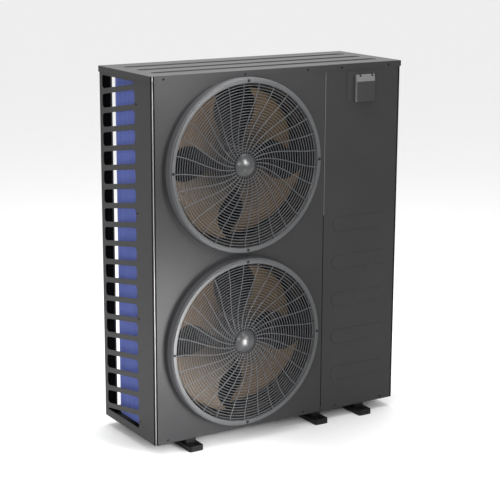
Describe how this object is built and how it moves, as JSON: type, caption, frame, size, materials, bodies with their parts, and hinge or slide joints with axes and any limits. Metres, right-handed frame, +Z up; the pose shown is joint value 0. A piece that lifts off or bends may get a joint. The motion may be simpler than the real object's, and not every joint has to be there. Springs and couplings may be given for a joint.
{
  "type": "heat pump unit",
  "caption": "Free-standing side-discharge air-source heat pump for a pool or spa, with stacked axial fans, slanted side openings and water unions",
  "frame": {"origin": "centre of the rectangle of anchor holes, on the plane the feet stand on", "axes": "+Z up, front face with the fans towards -Y, +X to the right seen from the front"},
  "size_m": [1.1745, 0.5013, 1.44],
  "materials": {
    "casing_powder_coat": "anthracite powder coat on pressed steel, fine satin texture",
    "grille_powder_coat": "grey powder coat on welded wire",
    "dome_gunmetal": "gunmetal lacquer on a moulded cap, high gloss",
    "fan_tan_nylon": "moulded glass-filled nylon, tan, satin",
    "orifice_grey_abs": "moulded ABS, dark grey",
    "blue_fin_aluminium": "aluminium fins with blue hydrophilic coating",
    "galvanised_steel": "hot-dip galvanised sheet, fine spangle",
    "black_coated_steel": "black powder coat on formed steel",
    "black_rubber": "moulded EPDM rubber",
    "mount_rubber": "moulded rubber bushes on plated studs",
    "copper_tube": "drawn copper tube, slightly dulled",
    "valve_brass": "machined brass",
    "compressor_black": "black enamel on welded steel",
    "motor_enamel": "dark enamel on cast motor housing",
    "black_abs": "moulded ABS, black",
    "union_grey_pvc": "moulded PVC, mid grey",
    "titanium": "bright drawn titanium tube",
    "sink_aluminium": "extruded aluminium, mill finish",
    "circuit_board": "coated circuit board with its parts",
    "controller_abs": "moulded ABS, charcoal",
    "flap_abs": "moulded ABS in the casing colour",
    "lens_acrylic": "smoked acrylic window",
    "key_abs": "moulded keys, light grey",
    "shaft_steel": "turned steel",
    "plated_steel": "zinc-plated steel",
    "dark_screw_steel": "black-passivated steel screws"
  },
  "bodies": {
    "root": {"top_cover": "casing_powder_coat", "fan_front_panel": "casing_powder_coat", "service_front_panel": "casing_powder_coat", "left_side_panel": "casing_powder_coat", "right_side_panel": "casing_powder_coat", "rear_service_panel": "casing_powder_coat", "lower_fan_grille": "grille_powder_coat", "upper_fan_grille": "grille_powder_coat", "grille_domes": "dome_gunmetal", "orifice_rings": "orifice_grey_abs", "evaporator_fins": "blue_fin_aluminium", "base_pan": "galvanised_steel", "partition_plate": "galvanised_steel", "motor_bracket": "galvanised_steel", "evaporator_end_plates": "galvanised_steel", "electrical_box": "galvanised_steel", "left_foot_rail": "black_coated_steel", "middle_foot_rail": "black_coated_steel", "right_foot_rail": "black_coated_steel", "rear_corner_post": "black_coated_steel", "rear_coil_guard": "black_coated_steel", "left_rubber_strip": "black_rubber", "middle_rubber_strip": "black_rubber", "right_rubber_strip": "black_rubber", "compressor_mounts": "mount_rubber", "evaporator_tubing": "copper_tube", "refrigerant_pipes": "copper_tube", "four_way_valve": "valve_brass", "expansion_valve": "valve_brass", "compressor": "compressor_black", "suction_accumulator": "compressor_black", "fan_motors": "motor_enamel", "terminal_cover": "black_abs", "cable_gland": "black_abs", "flow_switch": "black_abs", "condensate_spigot": "black_abs", "exchanger_shell": "union_grey_pvc", "water_stubs": "union_grey_pvc", "union_sockets": "union_grey_pvc", "titanium_coil": "titanium", "heat_sink": "sink_aluminium", "inverter_board": "circuit_board", "controller_housing": "controller_abs", "display_lens": "lens_acrylic", "hinge_pin": "shaft_steel", "grille_screws": "dark_screw_steel", "casing_screws": "dark_screw_steel"},
    "lower_fan": {"lower_impeller": "fan_tan_nylon", "lower_fan_shaft": "shaft_steel", "lower_shaft_nut": "plated_steel"},
    "upper_fan": {"upper_impeller": "fan_tan_nylon", "upper_fan_shaft": "shaft_steel", "upper_shaft_nut": "plated_steel"},
    "flap": {"weather_flap": "flap_abs"},
    "inlet_nut": {"water_inlet_nut": "union_grey_pvc"},
    "outlet_nut": {"water_outlet_nut": "union_grey_pvc"},
    "power_key": {"button_power": "key_abs"},
    "mode_key": {"button_mode": "key_abs"},
    "down_key": {"button_down": "key_abs"},
    "up_key": {"button_up": "key_abs"}
  },
  "joints": [
    {"name": "lower_fan_spin", "type": "hinge", "parent": "root", "child": "lower_fan", "pos_m": [-0.1735, -0.13, 0.398], "axis": [0, 1, 0], "continuous": true},
    {"name": "upper_fan_spin", "type": "hinge", "parent": "root", "child": "upper_fan", "pos_m": [-0.1735, -0.13, 1.086], "axis": [0, 1, 0], "continuous": true},
    {"name": "flap_hinge", "type": "hinge", "parent": "root", "child": "flap", "pos_m": [0.3875, -0.2135, 1.391], "axis": [-1, 0, 0], "range_deg": [0, 105]},
    {"name": "inlet_nut_turn", "type": "hinge", "parent": "root", "child": "inlet_nut", "pos_m": [0.58, 0.06, 0.22], "axis": [1, 0, 0], "continuous": true},
    {"name": "outlet_nut_turn", "type": "hinge", "parent": "root", "child": "outlet_nut", "pos_m": [0.58, 0.06, 0.62], "axis": [1, 0, 0], "continuous": true},
    {"name": "power_key_press", "type": "slide", "parent": "root", "child": "power_key", "axis": [0, 1, 0], "range_m": [0, 0.001], "stiffness_N_per_m": 400},
    {"name": "mode_key_press", "type": "slide", "parent": "root", "child": "mode_key", "axis": [0, 1, 0], "range_m": [0, 0.001], "stiffness_N_per_m": 400},
    {"name": "down_key_press", "type": "slide", "parent": "root", "child": "down_key", "axis": [0, 1, 0], "range_m": [0, 0.001], "stiffness_N_per_m": 400},
    {"name": "up_key_press", "type": "slide", "parent": "root", "child": "up_key", "axis": [0, 1, 0], "range_m": [0, 0.001], "stiffness_N_per_m": 400}
  ]
}
